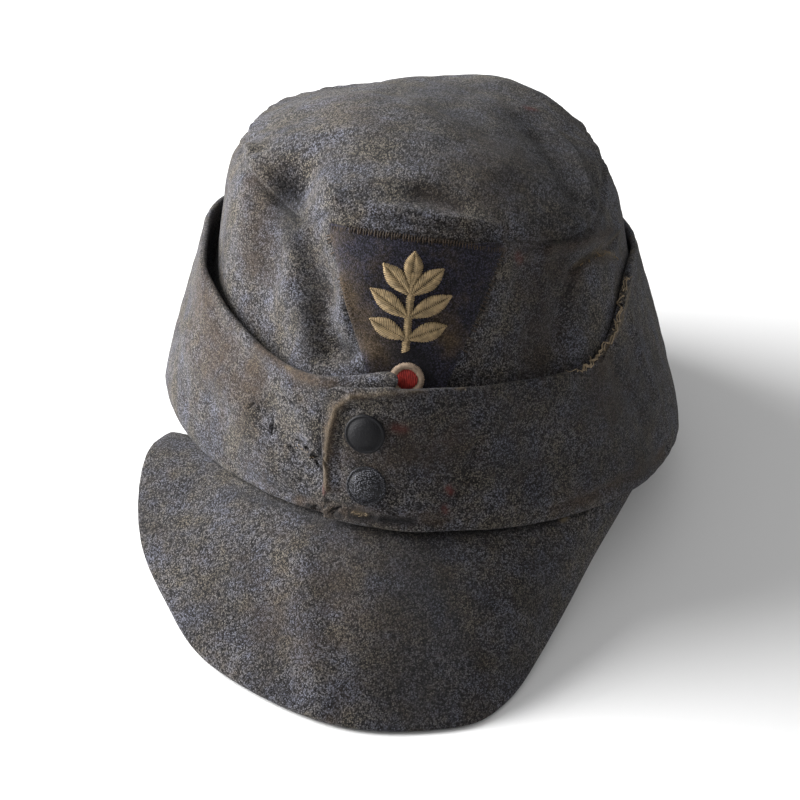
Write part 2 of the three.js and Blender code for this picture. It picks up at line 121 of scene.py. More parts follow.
FLAP_FOLDS = table(FOLD, [
    ([(327, 487), (326, 462), (330, 430), (336, 408), (352, 397)], 1.3, 0.9),
    ([(352, 397), (390, 394), (425, 391), (462, 387), (520, 376)], 1.3, 0.9),
    ([(340, 487), (339, 455), (343, 425), (352, 407), (400, 402)], 1.5, -0.6),
    ([(185, 400), (235, 468), (285, 494), (330, 506)], 1.3, -0.9),
    ([(385, 519), (440, 521), (560, 506), (620, 482), (668, 448)], 1.3, -0.9),
    ([(330, 505), (352, 511), (372, 517)], 1.2, -1.6),
    ([(262, 385), (280, 425), (310, 468)], 5, -1.0),
    ([(225, 380), (245, 430), (270, 465)], 6, 1.2),
    ([(288, 385), (305, 420), (318, 450)], 3, 0.9),
    ([(300, 378), (340, 388), (386, 380)], 2, 0.9),
    ([(478, 440), (470, 476), (448, 505)], 2.2, -0.9),
    ([(490, 425), (488, 460), (470, 500)], 4, 0.9),
    ([(400, 425), (420, 440), (425, 470)], 3, -0.7),
    ([(560, 395), (590, 430), (640, 452)], 8, 1.3),
    ([(631, 325), (640, 360), (655, 395)], 3.2, 1.2),
    ([(610, 345), (618, 380), (640, 415)], 4, -1.1),
    ([(185, 330), (215, 375), (250, 405)], 5, 1.3),
    ([(205, 280), (225, 335), (262, 372)], 3.5, -0.9),
])
PEAK_FOLDS = table(FOLD, [
    ([(300, 540), (306, 620), (318, 700)], 5, 1.2),
    ([(190, 500), (215, 560), (240, 620)], 10, -1.1),
    ([(255, 545), (265, 600), (280, 660)], 5, -0.6),
    ([(400, 560), (410, 620), (400, 690)], 12, -1.0),
    ([(520, 560), (500, 620), (480, 680)], 8, 0.8),
])

# Worn-through stretches of the flap, each strewn with small slits: a line of photo pixels, how many
# slits there are, how far they stray in pixels, their length in pixels and their width in millimetres
WORN_STRETCHES = table("line slits stray length width", [
    ([(294, 444), (304, 449), (314, 458)], 9, 4, 8, 0.42),
    ([(312, 458), (324, 468)], 4, 3, 7, 0.36),
    ([(272, 422), (276, 430)], 3, 3, 7, 0.34),
    ([(285, 397), (292, 401)], 2, 1, 8, 0.5),
    ([(258, 398), (260, 412)], 2, 2, 8, 0.3),
    ([(294, 480), (298, 486)], 2, 3, 5, 0.32),
    ([(310, 508), (338, 515)], 6, 1.5, 11, 0.42),
    ([(476, 448), (470, 480)], 4, 2, 9, 0.34),
    ([(385, 505), (425, 512)], 5, 4, 7, 0.36),
])

# Marks of age and painted shade, each a line of photo pixels, its width in millimetres and its strength
CROWN_MARKS = {
    # The soil marks are partly soil and partly painted shade: the narrow ones darken the fold valleys, the
    # dents, the seam above the patch and the crease under the torn fold; the broad ones over the right of the
    # top and the right side are painted shade on cloth turned from the light
    "soil": table(MARK, [
        ([(284, 190), (291, 234)], 6, 0.62),
        ([(298, 244), (306, 262)], 5, 0.45),
        ([(317, 284), (304, 312), (309, 350)], 4.6, 0.55),
        ([(424, 196), (454, 203)], 4, 0.4),
        ([(450, 92), (490, 130), (540, 170)], 18, 0.5),
        ([(345, 345), (352, 352)], 3, 0.6),
        ([(330, 229), (400, 233), (480, 245), (540, 252)], 1.3, 0.5),
        ([(560, 150), (575, 190), (560, 240), (540, 330)], 15, 0.45),
        ([(430, 110), (460, 160), (520, 190)], 12, 0.25),
        ([(610, 236), (618, 234)], 1.4, 1.0),
        ([(592, 255), (578, 266), (570, 284), (562, 307)], 1.2, 0.6),
    ]),
    "rust": table(MARK, [
        ([(612, 232), (586, 243), (548, 252)], 2.4, 0.9),
        ([(610, 256), (592, 258), (575, 271)], 2.4, 0.9),
        ([(550, 268), (572, 280)], 5, 0.8),
        ([(445, 325), (436, 345)], 5, 0.6),
        ([(475, 190), (500, 150)], 12, 0.5),
        ([(424, 196), (454, 203)], 5, 0.7),
        ([(535, 270), (540, 345)], 12, 0.5),
        ([(262, 180), (258, 260)], 9, 0.5),
        ([(340, 100), (360, 120)], 9, 0.4),
        ([(331, 227), (386, 236), (443, 243), (503, 251)], 1.1, 0.9),
    ]),
    "blush": table(MARK, [
        ([(527, 108), (534, 109)], 1.3, 0.6),
        ([(517, 256), (520, 260)], 1.4, 0.4),
    ]),
    "bare": table(MARK, [
        ([(592, 253), (604, 252), (615, 255)], 0.7, 0.4),
        ([(574, 266), (583, 261), (592, 256)], 0.7, 0.3),
        ([(600, 246), (612, 240), (620, 232)], 0.8, 0.3),
    ]),
}
FLAP_MARKS = {
    # Of the soil marks, the first is a darn; the two along the flap's bottom edge are a painted shadow in the
    # gap above the peak; the one beside the over end's edge darkens that joint; the two broad ones are
    # painted shade over the right of the flap, turned from the light
    "soil": table(MARK, [
        ([(395, 428), (425, 432)], 2.0, 0.45),
        ([(352, 516), (380, 520), (412, 522)], 1.7, 0.95),
        ([(308, 506), (340, 516)], 1.1, 0.9),
        ([(322, 405), (321, 450), (322, 500)], 0.8, 0.8),
        ([(430, 400), (560, 400), (640, 400)], 16, 0.4),
        ([(400, 450), (520, 470), (640, 450)], 12, 0.4),
    ]),
    "rust": table(MARK, [
        ([(352, 397), (425, 391), (520, 376), (566, 362)], 1.5, 0.9),
        ([(327, 487), (326, 462), (330, 430), (336, 408), (352, 397)], 1.5, 0.9),
        ([(222, 262), (240, 310), (262, 345), (290, 368), (330, 386)], 2.6, 0.8),
        ([(200, 300), (215, 350), (250, 380)], 11, 0.6),
        ([(300, 503), (360, 515), (440, 521)], 3, 0.7),
        ([(370, 455), (400, 450), (440, 445)], 8, 0.5),
        ([(560, 510), (620, 480), (665, 450)], 3, 0.7),
        ([(600, 375), (610, 400)], 9, 0.5),
    ]),
    "blush": table(MARK, [
        ([(448, 488), (451, 493)], 1.0, 0.6),
        ([(444, 508), (446, 512)], 0.9, 0.45),
        ([(322, 486), (323, 492)], 0.9, 0.5),
        ([(395, 428), (404, 430)], 1.3, 0.35),
    ]),
    "bare": table(MARK, [
        ([(588, 354), (606, 348), (619, 326), (627, 298), (631, 250)], 0.9, 0.45),
        ([(212, 208), (222, 262), (240, 312), (290, 368)], 0.9, 0.35),
        ([(353, 514), (366, 516)], 0.5, 0.4),
        ([(456, 388), (468, 386)], 0.6, 0.5),
        ([(326, 484), (325, 462), (329, 430), (336, 408), (352, 396)], 0.8, 0.2),
        ([(352, 396), (390, 393), (425, 389)], 0.7, 0.14),
    ]),
}
PEAK_MARKS = {
    # The soil marks on the peak are painted shade: a painted shadow along its root under the flap's edge,
    # broad painted shade over the middle and right, which turn from the light, and a faint broad darkening
    # over the left
    "soil": table(MARK, [
        ([(240, 494), (330, 524), (440, 538), (560, 522), (640, 480)], 2.4, 0.6),
        ([(415, 560), (435, 640), (430, 700)], 22, 0.6),
        ([(540, 560), (520, 640)], 14, 0.3),
        ([(170, 500), (240, 600), (330, 680)], 26, 0.16),
    ]),
    "rust": table(MARK, [
        ([(160, 600), (205, 665), (263, 702), (330, 722)], 1.6, 0.6),
        ([(270, 600), (300, 640)], 10, 0.4),
        ([(330, 560), (360, 620)], 14, 0.4),
    ]),
    "bare": table(MARK, [
        ([(562, 520), (567, 518)], 0.7, 1.0),
    ]),
}
PATCH_MARKS = {
    "rust": table(MARK, [
        ([(342, 285), (358, 325), (380, 350)], 5, 0.8),
        ([(436, 322), (450, 340)], 4, 0.8),
        ([(328, 236), (330, 262)], 2.6, 0.6),
    ]),
    "soil": table(MARK, [
        ([(395, 352), (420, 356), (428, 380)], 2.4, 0.8),
    ]),
}

# Frayed places on the crown and the flap: a line of photo pixels, how many threads stand off it and
# how long they are in millimetres
CROWN_FRAYS = table("line threads reach", [
    ([(616, 255), (605, 253), (593, 257), (587, 264), (575, 270)], 16, 2.2),
])
FLAP_FRAYS = table("line threads reach", [
    ([(353, 512), (366, 516)], 9, 1.6),
    ([(294, 444), (314, 458)], 8, 1.2),
    ([(452, 388), (470, 386)], 6, 1.4),
    ([(562, 364), (572, 361)], 8, 2.2),
])

# Edges of the patch with their stitches: lines of photo pixels, and half a stitch's reach across it
PATCH_EDGES = table("line stitches across", [
    ([(328, 226), (386, 235), (443, 242), (504, 249)], 62, (0.6, -3.2)),
    ([(327, 230), (343, 290), (364, 352)], 34, (-2.6, 0.8)),
    ([(503, 254), (482, 310), (462, 362)], 26, (2.6, 1.0)),
])

# The stretch of the flap's top edge that is torn, in degrees from the front
TORN_FROM = 37
TORN_TO = 78

# The tip of the flap's under end, a photo pixel, is drawn up over the roundel by millimetres
TIP = {"at": (384, 381), "width": 3.2, "move": (3.6, -0.6, 1.6)}

# Pairs of leaves up the embroidered stem, as in the solids: their foot and length as shares of the
# sprig's height, and their lean in degrees
SPRIG_LEAVES = table("foot length lean", [
    (0.12, 0.42, 66),
    (0.34, 0.48, 58),
    (0.56, 0.42, 46),
])
TIP_LEAF_LENGTH = 0.36
STEM_LENGTH = 0.8


LEAF_WIDTH = 5.6 * MM

# The seam between the crown's panels: a groove between two ridges, in millimetres
SEAM = {"ridge": 0.7, "ridge_at": 3.0, "ridge_width": 1.6, "groove": 0.4, "groove_width": 1.2}

# Where the flap's ring has its middle, from the middle of the cap to the back
FLAP_MIDDLE = 0.028

# How near a worn stretch the flap's mesh is made finer, and how close to it counts
WORN_REACH = 4 * MM
WORN_CLOSENESS = 0.55

# The peak's root, where the flap hides it and it doesn't swell: a line of photo pixels
PEAK_ROOT = ((260, 515), (440, 548), (600, 515))

# A button's turned rim, inner step and dome, as insets of the growing face: inset as a share of its
# radius and rise as a share of its height
BUTTON_STEPS = table("inset rise", [
    (0.05, 0.08),
    (0.06, 0.0),
    (0.03, -0.07),
    (0.14, 0.2),
    (0.16, 0.14),
    (0.2, 0.09),
    (0.18, 0.03),
])

# Starts of the random draws
SEEDS = {"slits": 21, "stitches": 3, "sprig": 7, "roundel": 11, "threads": 5}

# Area lights: their power's name in the settings, size and place in metres
LAMPS = table("name power size place", [
    ("key_light", "key_power", 1.2, (-1.38, 0.1, 0.58)),
    ("fill_light", "fill_power", 1.2, (0.5, -1.2, 1.1)),
])


def tint(name, description, colour):
    """A setting that holds a colour."""
    return bpy.props.FloatVectorProperty(
        name=name, description=description, subtype="COLOR", size=4, default=linear(colour)
    )


def measure(name, description, default):
    """A setting that holds a length."""
    return bpy.props.FloatProperty(name=name, description=description, default=default, unit="LENGTH")


class CapCloth(bpy.types.PropertyGroup):
    """Sizes and colours of the wool."""

    pebble: measure("Pebble", "Size of one pebble of the milled weave", 0.42 * MM)
    nap: measure("Nap", "Height of the weave's pebbles", 0.3 * MM)
    blue: tint("Raised wool, blue", "Colour of the worn tops where the dye has kept", "#5d5e68")
    olive: tint("Raised wool, olive", "Colour of the worn tops where the dye has turned", "#615b52")
    # The deep wool is near black: painted shade in the hollows of the weave
    dark: tint("Deep wool", "Colour between the pebbles", "#120e10")
    brown: tint("Faded wool", "Colour of the browned, faded areas", "#42362b")
    navy: tint("Patch wool", "Colour of the patch", "#2d2b38")


class CapThread(bpy.types.PropertyGroup):
    """Sizes and colours of the embroidery."""

    width: measure("Thread", "Thickness of an embroidery thread", 0.62 * MM)
    gold: tint("Leaf thread", "Colour of the leaf sprig", "#998462")
    pale: tint("Ring thread", "Colour of the roundel's ring", "#a8937f")
    red: tint("Core thread", "Colour of the roundel's middle", "#a32f28")


class CapStage(bpy.types.PropertyGroup):
    """Lights and floor."""

    key_power: bpy.props.FloatProperty(
        name="Key light", description="Power of the main light", default=89, unit="POWER"
    )
    fill_power: bpy.props.FloatProperty(
        name="Fill light", description="Power of the fill light", default=1, unit="POWER"
    )
    sky: bpy.props.FloatProperty(name="Sky", description="Strength of the even light", default=0.42)


def select_only(piece):
    """Leaves one object selected and active."""
    bpy.ops.object.select_all(action="DESELECT")
    piece.select_set(True)
    bpy.context.view_layer.objects.active = piece


def keep(piece, slot, *nodes):
    """Tells the frame that a finished piece rides on the root, and hides the solids it stands for."""
    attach(piece, "root")
    if nodes:
        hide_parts(*nodes)


def round_off(piece, levels):
    """Rounds the active piece off by subdivision."""
    rounding = piece.modifiers.new("Rounding", "SUBSURF")
    rounding.levels = levels
    rounding.render_levels = levels
    bpy.ops.object.modifier_apply(modifier=rounding.name)
    bpy.ops.object.shade_smooth()


def soft_copy(name, node, levels):
    """A solid's mesh as one smooth skin of quads."""
    piece = bpy.data.objects.new(name, NODES[node].data.copy())
    bpy.context.collection.objects.link(piece)
    piece.data.materials.clear()
    select_only(piece)
    bpy.ops.mesh.customdata_custom_splitnormals_clear()
    bpy.ops.object.mode_set(mode="EDIT")
    bpy.ops.mesh.select_all(action="SELECT")
    bpy.ops.mesh.remove_doubles(threshold=0.002 * MM)
    bpy.ops.mesh.tris_convert_to_quads(face_threshold=math.radians(50), shape_threshold=math.radians(70))
    bpy.ops.object.mode_set(mode="OBJECT")
    round_off(piece, levels)
    return piece


def points_of(piece):
    """A piece's points as rows of x, y and z."""
    flat = np.empty(len(piece.data.vertices) * 3)
    piece.data.vertices.foreach_get("co", flat)
    return flat.reshape(-1, 3)


def move_points(piece, points):
    """Puts a piece's points in new places."""
    piece.data.vertices.foreach_set("co", points.ravel())
    piece.data.update()


def skin(*pieces):
    """The surface of some pieces together, for finding where rays meet it."""
    corners = []
    faces = []
    for piece in pieces:
        start = len(corners)
        corners += [v.co.copy() for v in piece.data.vertices]
        faces += [tuple(start + i for i in p.vertices) for p in piece.data.polygons]
    return BVHTree.FromPolygons(corners, faces)


def camera_axes():
    """The camera's place, and its right, up and forward directions before it is rolled."""
    turn = math.radians(CAMERA_AZIMUTH)
    rise = math.radians(CAMERA_ELEVATION)
    back = Vector((math.sin(turn) * math.cos(rise), -math.cos(turn) * math.cos(rise), math.sin(rise)))
    ahead = -back
    right = ahead.cross(Vector((0, 0, 1))).normalized()
    return CAMERA_AIM + back * CAMERA_DISTANCE, right, right.cross(ahead), ahead


def photo_point(surface, pixel):
    """Where a photo pixel falls on a surface, or None past its edge."""
    place, right, up, ahead = camera_axes()
    roll = math.radians(CAMERA_ROLL)
    x = pixel[0] - AIM_PIXEL[0]
    y = pixel[1] - AIM_PIXEL[1]
    across = (x * math.cos(roll) + y * math.sin(roll)) / FOCAL_PIXELS
    down = (y * math.cos(roll) - x * math.sin(roll)) / FOCAL_PIXELS
    ray = (ahead + right * across - up * down).normalized()
    return surface.ray_cast(place, ray)[0]


def photo_line(surface, pixels):
    """Where a line of photo pixels falls on a surface, without those past its edge."""
    return [place for place in (photo_point(surface, pixel) for pixel in pixels) if place]


def closeness(points, line, width):
    """1 on a line of places, fading to nothing about two widths away from it."""
    best = np.full(len(points), 1e9)
    stops = [np.array(stop) for stop in line]
    for a, b in zip(stops, stops[1:] or stops):
        run = b - a
        share = np.clip((points - a) @ run / max(run @ run, 1e-12), 0, 1)
        away = points - a - share[:, None] * run
        best = np.minimum(best, (away**2).sum(1))
    return np.exp(-best / width**2)


def folds_on(points, folds, surface):
    """How far each point swells out by the folds."""
    swell = np.zeros(len(points))
    for fold in folds:
        line = photo_line(surface, fold["line"])
        if line:
            swell += fold["depth"] * MM * closeness(points, line, fold["width"] * MM)
    return swell


def lumps(points, size, seed):
    """Soft random swellings between -1 and 1, of a given size."""
    shift = Vector((seed * 7.3, seed * 3.1, seed * 5.7))
    return np.array([noise.noise(Vector(p) / size + shift) for p in points])


def along(line, share):
    """A place part of the way down a line of pixels."""
    lengths = [math.dist(a, b) for a, b in zip(line, line[1:])]
    rest = share * sum(lengths)
    for a, b, length in zip(line, line[1:], lengths):
        if rest <= length or b == line[-1]:
            t = min(rest / length, 1.0)
            return (a[0] + (b[0] - a[0]) * t, a[1] + (b[1] - a[1]) * t)
        rest -= length


def slits(stretches, seed):
    """Small slits worn in the cloth, strewn along each stretch and lying roughly along it."""
    dice = random.Random(seed)
    rows = []
    for stretch in stretches:
        (first_x, first_y), (last_x, last_y) = stretch["line"][0], stretch["line"][-1]
        for _ in range(stretch["slits"]):
            x, y = along(stretch["line"], dice.random())
            x += dice.gauss(0, stretch["stray"])
            y += dice.gauss(0, stretch["stray"])
            turn = math.atan2(last_y - first_y, last_x - first_x) + dice.gauss(0, 0.5)
            reach = stretch["length"] * dice.uniform(0.4, 1.1)
            end = (x + reach * math.cos(turn), y + reach * math.sin(turn))
            # A slit is a shallow dent, painted dark by its strength: painted shade inside the slit
            slit = {"line": [(x, y), end], "width": stretch["width"], "depth": -0.9}
            rows.append({**slit, "strength": dice.uniform(0.6, 1.0)})
    return rows


def outwards(points, heart):
    """Unit directions away from the crown's heart."""
    away = points - np.array(heart)
    return away / np.linalg.norm(away, axis=1)[:, None]


def mark(piece, marks, surface, points):
    """Writes the strength of each kind of mark on the piece's points."""
    for kind, spots in marks.items():
        strength = np.zeros(len(points))
        for spot in spots:
            line = photo_line(surface, spot["line"])
            if line:
                near = closeness(points, line, spot["width"] * MM)
                strength = np.maximum(strength, spot["strength"] * near)
        layer = piece.data.attributes.new(kind, "FLOAT", "POINT")
        layer.data.foreach_set("value", strength)


def meet(points, surface):
    """Draws points near another skin onto it, so that two sewn panels meet flush."""
    moved = points.copy()
    for i, point in enumerate(points):
        place, _, _, away = surface.find_nearest(Vector(point), 7 * MM)
        if place:
            moved[i] += (np.array(place) - point) * math.exp(-((away / (3 * MM)) ** 2))
    return moved


def crown_swell(points):
    """How the crown's cloth swells: the same for the wall, the patch and what is sewn on."""
    surface = skin_of_nodes("crown_side", "crown_top", "badge_patch")
    flap = skin_of_nodes("flap")
    panels = (skin_of_nodes("crown_side"), skin_of_nodes("crown_top"))
    swell = folds_on(points, CROWN_FOLDS, surface)
    swell += 0.75 * MM * lumps(points, 17 * MM, 1) + 0.32 * MM * lumps(points, 6 * MM, 2)
    # The seam is puckered every few millimetres
    away = np.array([max(panel.find_nearest(Vector(p))[3] for panel in panels) for p in points])
    pucker = 1 + 0.9 * lumps(points, 3.6 * MM, 6)
    beside = (away - SEAM["ridge_at"] * MM) / (SEAM["ridge_width"] * MM)
    swell += SEAM["ridge"] * MM * pucker * np.exp(-(beside**2))
    swell -= SEAM["groove"] * MM * pucker * np.exp(-((away / (SEAM["groove_width"] * MM)) ** 2))
    directions = outwards(points, CROWN_HEART)
    for i, (point, direction) in enumerate(zip(points, directions)):
        place = Vector(point)
        covered = flap.ray_cast(place + Vector(direction) * 0.2 * MM, Vector(direction), 12 * MM)[0]
        gap = flap.find_nearest(place)[3]
        swell[i] *= 0.0 if covered else min(gap / (5 * MM), 1.0)
    return directions * swell[:, None]


def skin_of_nodes(*names):
    """The surface of some solids together."""
    return skin(*(NODES[name] for name in names))


def set_inputs(material, item, inputs):
    """Sets a node's inputs, each to a value, or to a node and the name or number of its output."""
    for socket, value in inputs.items():
        if isinstance(value, tuple) and isinstance(value[0], bpy.types.Node):
            material.node_tree.links.new(value[0].outputs[value[1]], item.inputs[socket])
        else:
            item.inputs[socket].default_value = value


def add_node(material, kind, inputs=None, **settings):
    """Adds a node to a material, with its settings and inputs."""
    item = material.node_tree.nodes.new(kind)
    for name, value in settings.items():
        setattr(item, name, value)
    set_inputs(material, item, inputs or {})
    return item


def new_material(name):
    """An empty material with a shader and its output."""
    material = bpy.data.materials.new(name)
    material.use_nodes = True
    material.node_tree.nodes.clear()
    shader = add_node(material, "ShaderNodeBsdfPrincipled")
    add_node(material, "ShaderNodeOutputMaterial", {"Surface": (shader, "BSDF")})
    return material, shader


def wool(name, tops, dark, brown, brown_share, cloth, depth=1.0):
    """Milled wool: a pebbled weave with worn tops of two tones, hollows painted dark as shade, and faded
    brown clouds.
    """
    material, shader = new_material(name)
    add = partial(add_node, material)
    place = add("ShaderNodeTexCoord")
    clouds = {"Vector": (place, "Object"), "Detail": 4.0, "Roughness": 0.6}
    # Cloth seen at a low angle has its pebbles drawn longer in depth, or they would not show
    longer = {0: (place, "Object"), 1: (1.0, depth, 1.0)}
    drawn = add("ShaderNodeVectorMath", longer, operation="MULTIPLY")
    cells = {"Vector": (drawn, "Vector"), "Scale": 1 / cloth.pebble}
    pebbles = add("ShaderNodeTexVoronoi", cells, feature="F1")
    # Each tuft of fibres catches the light by chance, from dark to half as light again as its dye
    chance = {"Value": (pebbles, "Color"), "From Min": 0.25, "From Max": 0.75, "To Max": 1.5}
    tuft = add("ShaderNodeMapRange", chance)
    # Height of the nap: pebbles with fine fibres over them
    fuzz = add("ShaderNodeTexNoise", {**clouds, "Scale": 1 / (0.45 * cloth.pebble), "Detail": 3.0})
    slope = {"From Min": 0.62, "From Max": 0.1, "To Min": 0.35, "To Max": 1.0}
    crest = add("ShaderNodeMapRange", {"Value": (pebbles, "Distance"), **slope})
    height_inputs = {0: (fuzz, "Fac"), 1: 0.9, 2: (crest, "Result")}
    height = add("ShaderNodeMath", height_inputs, operation="MULTIPLY_ADD")
    # Tops are worn pale where the cloth has rubbed, in clouds of about 14 mm
    rubbing = add("ShaderNodeTexNoise", {**clouds, "Scale": 1 / (14 * MM)})
    wear = {"Value": (rubbing, "Fac"), "From Min": 0.3, "From Max": 0.7, "To Min": 0.45}
    worn = add("ShaderNodeMapRange", wear)
    top = add("ShaderNodeMapRange", {"Value": (height, 0), "From Min": 0.35, "From Max": 1.2})
    worn_top = add("ShaderNodeMath", {0: (top, 0), 1: (worn, 0)}, operation="MULTIPLY")
    rubbed = add("ShaderNodeMath", {0: (worn_top, 0), 1: (tuft, 0)}, operation="MULTIPLY")
    # The dye has kept blue or turned olive, in areas of about 11 mm
    areas = {**clouds, "Scale": 1 / (11 * MM), "Detail": 5.0, "Roughness": 0.65}
    turned = add("ShaderNodeTexNoise", areas)
    dye = add("ShaderNodeMapRange", {"Value": (turned, "Fac"), "From Min": 0.38, "From Max": 0.62})
    tone = add("ShaderNodeMix", {"Factor": (dye, 0), 6: tops[0], 7: tops[1]}, data_type="RGBA")
    # The ground runs from the near-black deep wool in the hollows up to the dye on the tops: painted shade in
    # the weave's hollows, beside the tops' real wear
    ground = add("ShaderNodeMix", {"Factor": (rubbed, 0), 6: dark, 7: (tone, 2)}, data_type="RGBA")
    # Faded brown areas with ragged edges, 5 to 15 mm across, and those that have a known place
    stains = {**clouds, "Scale": 1 / (9 * MM), "Detail": 6.0, "Roughness": 0.75}
    stain = add("ShaderNodeTexNoise", stains)
    rust = add("ShaderNodeAttribute", attribute_name="rust")
    rust_inputs = {0: (rust, "Fac"), 1: 0.42, 2: (stain, "Fac")}
    ragged = add("ShaderNodeMath", rust_inputs, operation="MULTIPLY_ADD")
    fading = {"Value": (ragged, 0), "From Min": 0.5, "From Max": 0.86, "To Max": brown_share}
    browned = add("ShaderNodeMapRange", fading)
    coat = add("ShaderNodeMix", {"Factor": (browned, 0), 6: (ground, 2), 7: brown}, data_type="RGBA")
    # The hollows are darkened once more by their depth: painted shade between the pebbles
    tufted = add("ShaderNodeMath", {0: (height, 0), 1: (tuft, 0)}, operation="MULTIPLY")
    hollow_shade = {"Factor": 0.55, 6: (coat, 2), 7: (tufted, 0)}
    coat = add("ShaderNodeMix", hollow_shade, data_type="RGBA", blend_type="MULTIPLY")
    # Soil and painted shade: darker in the folds, dents and slits, under the flap's edges and over the sides
    # turned from the light; then specks of red dye and bare pale threads
    for kind, colour in (("soil", "#0c0b0e"), ("blush", "#5a211c"), ("bare", "#7b6d56")):
        spots = add("ShaderNodeAttribute", attribute_name=kind)
        cover = {"Factor": (spots, "Fac"), 6: (coat, 2), 7: linear(colour)}
        coat = add("ShaderNodeMix", cover, data_type="RGBA")
    bump = add("ShaderNodeBump", {"Height": (height, 0), "Strength": 0.9, "Distance": cloth.nap})
    # Wool fibres scatter light: no gloss, a faint sheen
    finish = {"Roughness": 0.95, "Specular IOR Level": 0.12, "Sheen Weight": 0.08, "Sheen Roughness": 0.6}
    set_inputs(material, shader, {"Base Color": (coat, 2), "Normal": (bump, "Normal"), **finish})
    return material


def embroidery(name, colour):
    """Cotton thread: a soft gloss along each strand, soiled between them."""
    material, shader = new_material(name)
    add = partial(add_node, material)
    place = add("ShaderNodeTexCoord")
    clouds = {"Vector": (place, "Object"), "Roughness": 0.6}
    # Grime varies over 1 to 4 mm, the twist of a strand over 0.3 mm
    dirt = add("ShaderNodeTexNoise", {**clouds, "Scale": 1 / (1.6 * MM), "Detail": 4.0})
    twist = add("ShaderNodeTexNoise", {**clouds, "Scale": 1 / (0.3 * MM), "Detail": 1.0})
    limits = {"From Min": 0.32, "From Max": 0.68, "To Min": 0.45, "To Max": 1.05}
    grime = add("ShaderNodeMapRange", {"Value": (dirt, "Fac"), **limits})
    mixed = {"Factor": 1.0, 6: colour, 7: (grime, 0)}
    soiled = add("ShaderNodeMix", mixed, data_type="RGBA", blend_type="MULTIPLY")
    bump = add("ShaderNodeBump", {"Height": (twist, "Fac"), "Strength": 0.4, "Distance": 0.1 * MM})
    finish = {"Roughness": 0.7, "Specular IOR Level": 0.3}
    set_inputs(material, shader, {"Base Color": (soiled, 2), "Normal": (bump, "Normal"), **finish})
    return material


def painted_zinc(name, relief, rubbed_colour, gloss):
    """Painted zinc: dark blue-grey paint over a pebbled stamping, rubbed on its high spots."""
    material, shader = new_material(name)
    add = partial(add_node, material)
    place = add("ShaderNodeTexCoord")
    # Pebbles stamped 0.5 mm apart
    cells = {"Vector": (place, "Object"), "Scale": 1 / (0.5 * MM), "Randomness": 0.6}
    pebbles = add("ShaderNodeTexVoronoi", cells, feature="F1")
    high = add("ShaderNodeMapRange", {"Value": (pebbles, "Distance"), "From Min": 0.5, "From Max": 0.2})
    areas = {"Vector": (place, "Object"), "Scale": 1 / (3 * MM), "Detail": 4.0, "Roughness": 0.6}
    rubbing = add("ShaderNodeTexNoise", areas)
    wear = add("ShaderNodeMapRange", {"Value": (rubbing, "Fac"), "From Min": 0.35, "From Max": 0.65})
    rubbed = add("ShaderNodeMath", {0: (high, 0), 1: (wear, 0)}, operation="MULTIPLY")
    paint = {"Factor": (rubbed, 0), 6: linear("#08080c"), 7: rubbed_colour}
    tone = add("ShaderNodeMix", paint, data_type="RGBA")
    bump = add("ShaderNodeBump", {"Height": (high, 0), "Strength": relief, "Distance": 0.22 * MM})
    finish = {"Roughness": gloss, "Metallic": 0.15, "Specular IOR Level": 0.25}
    set_inputs(material, shader, {"Base Color": (tone, 2), "Normal": (bump, "Normal"), **finish})
    return material


def wool_for(name, brown_share, depth=1.0):
    """The cap's wool, more or less browned."""
    cloth = bpy.context.scene.cap_cloth
    return wool(name, (cloth.blue, cloth.olive), cloth.dark, cloth.brown, brown_share, cloth, depth)


def strands(name, lines, width, material):
    """One mesh of many threads, each along a short line of places."""
    curve = bpy.data.curves.new(name, "CURVE")
    curve.dimensions = "3D"
    curve.bevel_depth = width / 2
    curve.bevel_resolution = 1
    curve.use_fill_caps = True
    for line in lines:
        spline = curve.splines.new("POLY")
        spline.points.add(len(line) - 1)
        for i, place in enumerate(line):
            spline.points[i].co = (*place, 1.0)
            end = i in (0, len(line) - 1)
            spline.points[i].radius = 0.55 if end else 1.0
    piece = bpy.data.objects.new(name, curve)
    bpy.context.collection.objects.link(piece)
    select_only(piece)
    bpy.ops.object.convert(target="MESH")
    piece = bpy.context.object
    bpy.ops.object.shade_smooth()
    piece.data.materials.clear()
    piece.data.materials.append(material)
    return piece


class FIELDCAP_OT_crown(bpy.types.Operator):
    """Make the soft wool crown: its side wall and its domed top."""

    bl_idname = "field_cap.crown"
    bl_label = "Crown"

    def execute(self, context):
        dome = soft_copy("crown_dome", "crown_top", 3)
        wall = soft_copy("crown_wall", "crown_side", 3)
        dome_points = meet(points_of(dome), skin(wall))
        move_points(dome, dome_points)
        wall_points = meet(points_of(wall), skin(dome))
        for piece, points, node in ((dome, dome_points, "crown_top"), (wall, wall_points, "crown_side")):
            move_points(piece, points + crown_swell(points))
            keep(piece, "crown_cloth", node)
        surface = skin(dome, wall)
        for piece in (dome, wall):
            mark(piece, CROWN_MARKS, surface, points_of(piece))
        dome.data.materials.append(wool_for("Wool serge of the crown's top, milled and worn", 0.6, 0.62))
        wall.data.materials.append(wool_for("Wool serge of the crown's side, milled and worn", 0.75))
        return {"FINISHED"}


def top_rim(piece, low, high):
    """The outer top edge of the flap between two angles from the front, one place for each degree."""
    best = {}
    for corner in piece.data.vertices:
        place = corner.co
        angle = math.degrees(math.atan2(place.x, FLAP_MIDDLE - place.y))
        if not low <= angle <= high:
            continue
        height = place.z + 0.2 * math.hypot(place.x, place.y - FLAP_MIDDLE)
        if round(angle) not in best or height > best[round(angle)][0]:
            best[round(angle)] = (height, place.copy())
    return [best[angle][1] for angle in sorted(best)]


def face_rows(piece, what):
    """One value of three numbers for each face of a piece, such as its centre or its normal."""
    flat = np.empty(len(piece.data.polygons) * 3)
    piece.data.polygons.foreach_get(what, flat)
    return flat.reshape(-1, 3)


